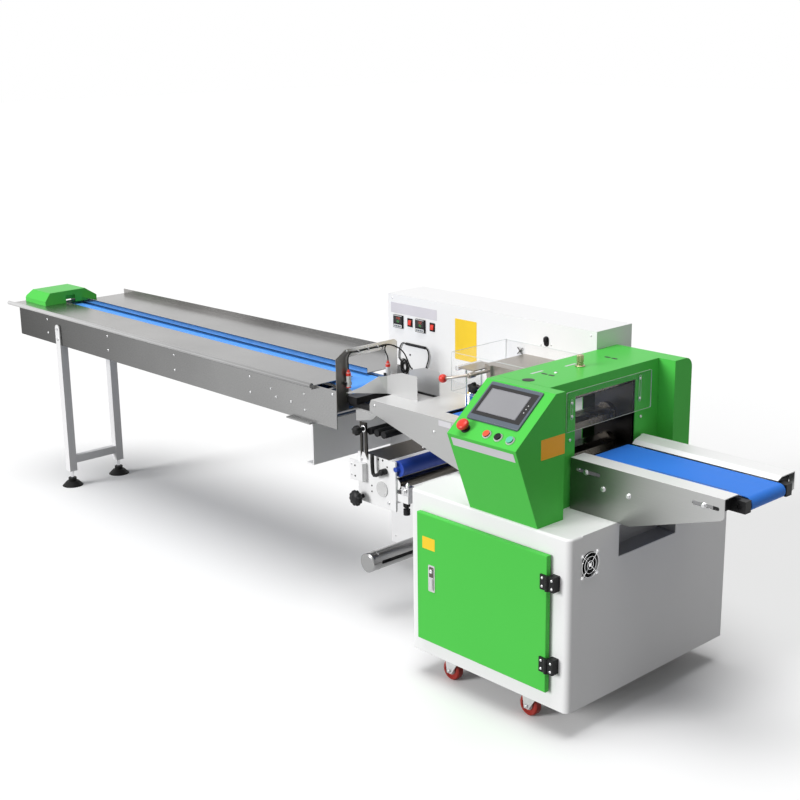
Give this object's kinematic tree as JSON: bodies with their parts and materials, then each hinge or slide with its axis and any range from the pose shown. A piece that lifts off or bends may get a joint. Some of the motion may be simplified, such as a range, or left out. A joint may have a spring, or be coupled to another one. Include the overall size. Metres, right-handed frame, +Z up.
{
  "type": "horizontal flow wrapper",
  "caption": "Horizontal flow wrapping machine with a long infeed table, film unit, bag former, end sealer under a bridge cover and a short discharge belt.",
  "frame": {"origin": "on the floor, at the middle of the machine's bounding box", "axes": "+X downstream from the infeed to the discharge belt, -Y towards the operator, +Z up"},
  "size_m": [4.2925, 0.95, 1.17],
  "materials": {
    "white_paint": "satin",
    "green_paint": "gloss",
    "stainless": "brushed",
    "dark_steel": "satin",
    "zinc": "satin",
    "chrome": "polished",
    "black_plastic": "satin",
    "black_rubber": "matt",
    "grey_plastic": "satin",
    "white_plastic": "satin",
    "red_plastic": "gloss",
    "green_plastic": "gloss",
    "blue_belt": "satin",
    "blue_rubber": "satin",
    "red_wheel": "satin",
    "clear_plastic": "clear",
    "brass": "satin"
  },
  "bodies": {
    "frame": {"cabinet_front": "white_paint", "cabinet_panels": "white_paint", "cabinet_base": "white_paint", "mounting_panel": "zinc", "hinge_brackets": "black_plastic", "fan_guard": "black_plastic", "control_pod": "green_paint", "operator_screen": "grey_plastic", "panel_fittings": "white_plastic", "end_seal_cover": "green_paint", "clear_shield": "clear_plastic", "seal_frames": "dark_steel", "pressure_adjuster": "brass", "discharge_frame": "stainless", "discharge_belt": "blue_belt", "belt_rollers": "black_plastic", "rear_cabinet": "white_paint", "former_table": "stainless", "transfer_belt": "blue_belt", "bag_former": "stainless", "fin_seal_frame": "stainless", "fin_seal_cover": "clear_plastic", "film_plate": "white_paint", "guide_rollers": "black_rubber", "mandrel_bearing": "white_paint", "infeed_frame": "stainless", "infeed_belt": "blue_belt", "infeed_trays": "stainless", "end_cover": "green_paint", "infeed_supports": "white_paint", "levelling_feet": "black_rubber", "sensor_arch": "stainless", "arch_sensors": "white_plastic"},
    "door": {"cabinet_door": "green_paint", "door_latch": "chrome", "hinge_leaves": "black_plastic"},
    "fan": {"fan_rotor": "black_plastic"},
    "stop": {"emergency_stop": "red_plastic"},
    "key_red": {"red_button": "red_plastic"},
    "key_black": {"black_button": "black_plastic"},
    "key_green": {"green_button": "green_plastic"},
    "rocker_a": {"left_rocker": "red_plastic"},
    "rocker_b": {"right_rocker": "red_plastic"},
    "jaw_low": {"lower_jaw": "dark_steel"},
    "jaw_high": {"upper_jaw": "dark_steel"},
    "lever": {"lift_lever": "red_plastic"},
    "knob_fin": {"fin_knob": "black_plastic"},
    "knob_arm": {"arm_knob": "black_plastic"},
    "knob_tension": {"tension_knob": "black_plastic"},
    "lever_film": {"film_lever": "black_plastic"},
    "mandrel": {"roll_mandrel": "stainless"},
    "roller": {"feed_roller": "blue_rubber"},
    "fork_front_left": {"castor_fork_front_left": "zinc"},
    "wheel_front_left": {"castor_wheel_front_left": "red_wheel"},
    "fork_front_right": {"castor_fork_front_right": "zinc"},
    "wheel_front_right": {"castor_wheel_front_right": "red_wheel"},
    "fork_back_left": {"castor_fork_back_left": "zinc"},
    "wheel_back_left": {"castor_wheel_back_left": "red_wheel"},
    "fork_back_right": {"castor_fork_back_right": "zinc"},
    "wheel_back_right": {"castor_wheel_back_right": "red_wheel"}
  },
  "joints": [
    {"name": "door_hinge", "type": "hinge", "parent": "frame", "child": "door", "pos_m": [1.65575, -0.397, 0.389], "axis": [0, 0, 1], "range_deg": [0, 110]},
    {"name": "castor_swivel_front_left", "type": "hinge", "parent": "frame", "child": "fork_front_left", "pos_m": [1.18175, -0.305, 0.087], "axis": [0, 0, 1], "continuous": true},
    {"name": "castor_wheel_spin_front_left", "type": "hinge", "parent": "fork_front_left", "child": "wheel_front_left", "pos_m": [1.15575, -0.305, 0.0375], "axis": [0, 1, 0], "continuous": true},
    {"name": "castor_swivel_front_right", "type": "hinge", "parent": "frame", "child": "fork_front_right", "pos_m": [1.54175, -0.305, 0.087], "axis": [0, 0, 1], "continuous": true},
    {"name": "castor_wheel_spin_front_right", "type": "hinge", "parent": "fork_front_right", "child": "wheel_front_right", "pos_m": [1.51575, -0.305, 0.0375], "axis": [0, 1, 0], "continuous": true},
    {"name": "castor_swivel_back_left", "type": "hinge", "parent": "frame", "child": "fork_back_left", "pos_m": [1.18175, 0.413, 0.087], "axis": [0, 0, 1], "continuous": true},
    {"name": "castor_wheel_spin_back_left", "type": "hinge", "parent": "fork_back_left", "child": "wheel_back_left", "pos_m": [1.15575, 0.413, 0.0375], "axis": [0, 1, 0], "continuous": true},
    {"name": "castor_swivel_back_right", "type": "hinge", "parent": "frame", "child": "fork_back_right", "pos_m": [1.54175, 0.413, 0.087], "axis": [0, 0, 1], "continuous": true},
    {"name": "castor_wheel_spin_back_right", "type": "hinge", "parent": "fork_back_right", "child": "wheel_back_right", "pos_m": [1.51575, 0.413, 0.0375], "axis": [0, 1, 0], "continuous": true},
    {"name": "fan_spin", "type": "hinge", "parent": "frame", "child": "fan", "pos_m": [1.70775, -0.272, 0.581], "axis": [1, 0, 0], "continuous": true},
    {"name": "emergency_stop_press", "type": "slide", "parent": "frame", "child": "stop", "axis": [0, 0.6216, -0.7833], "range_m": [0, 0.004], "stiffness_N_per_m": 900},
    {"name": "red_button_press", "type": "slide", "parent": "frame", "child": "key_red", "axis": [0, 0.6216, -0.7833], "range_m": [0, 0.003], "stiffness_N_per_m": 500},
    {"name": "black_button_press", "type": "slide", "parent": "frame", "child": "key_black", "axis": [0, 0.6216, -0.7833], "range_m": [0, 0.003], "stiffness_N_per_m": 500},
    {"name": "green_button_press", "type": "slide", "parent": "frame", "child": "key_green", "axis": [0, 0.6216, -0.7833], "range_m": [0, 0.003], "stiffness_N_per_m": 500},
    {"name": "left_rocker_tilt", "type": "hinge", "parent": "frame", "child": "rocker_a", "pos_m": [0.33575, 0.279, 1.065], "axis": [1, 0, 0], "range_deg": [0, 18]},
    {"name": "right_rocker_tilt", "type": "hinge", "parent": "frame", "child": "rocker_b", "pos_m": [0.46375, 0.279, 1.065], "axis": [1, 0, 0], "range_deg": [0, 18]},
    {"name": "lower_jaw_spin", "type": "hinge", "parent": "frame", "child": "jaw_low", "pos_m": [1.40375, 0.033, 0.817], "axis": [0, 1, 0], "continuous": true},
    {"name": "upper_jaw_spin", "type": "hinge", "parent": "frame", "child": "jaw_high", "pos_m": [1.40375, 0.033, 0.921], "axis": [0, 1, 0], "continuous": true},
    {"name": "lift_lever_swing", "type": "hinge", "parent": "frame", "child": "lever", "pos_m": [0.97975, -0.033, 1.017], "axis": [0, 1, 0], "range_deg": [0, 50]},
    {"name": "fin_knob_turn", "type": "hinge", "parent": "frame", "child": "knob_fin", "pos_m": [0.98175, -0.022, 0.969], "axis": [0, 1, 0], "continuous": true},
    {"name": "arm_knob_turn", "type": "hinge", "parent": "frame", "child": "knob_arm", "pos_m": [0.54975, -0.197, 0.76], "axis": [0, 1, 0], "continuous": true},
    {"name": "tension_knob_turn", "type": "hinge", "parent": "frame", "child": "knob_tension", "pos_m": [0.53775, -0.197, 0.491], "axis": [0, 1, 0], "continuous": true},
    {"name": "film_lever_swing", "type": "hinge", "parent": "frame", "child": "lever_film", "pos_m": [0.66575, -0.187, 0.618], "axis": [0, 1, 0], "range_deg": [-45, 45]},
    {"name": "mandrel_spin", "type": "hinge", "parent": "frame", "child": "mandrel", "pos_m": [0.55075, 0.033, 0.22], "axis": [0, 1, 0], "continuous": true},
    {"name": "feed_roller_spin", "type": "hinge", "parent": "frame", "child": "roller", "pos_m": [0.71775, 0.033, 0.635], "axis": [0, 1, 0], "continuous": true}
  ],
  "couplings": [
    {"joint": "upper_jaw_spin", "follows": "lower_jaw_spin", "ratio": -1}
  ]
}
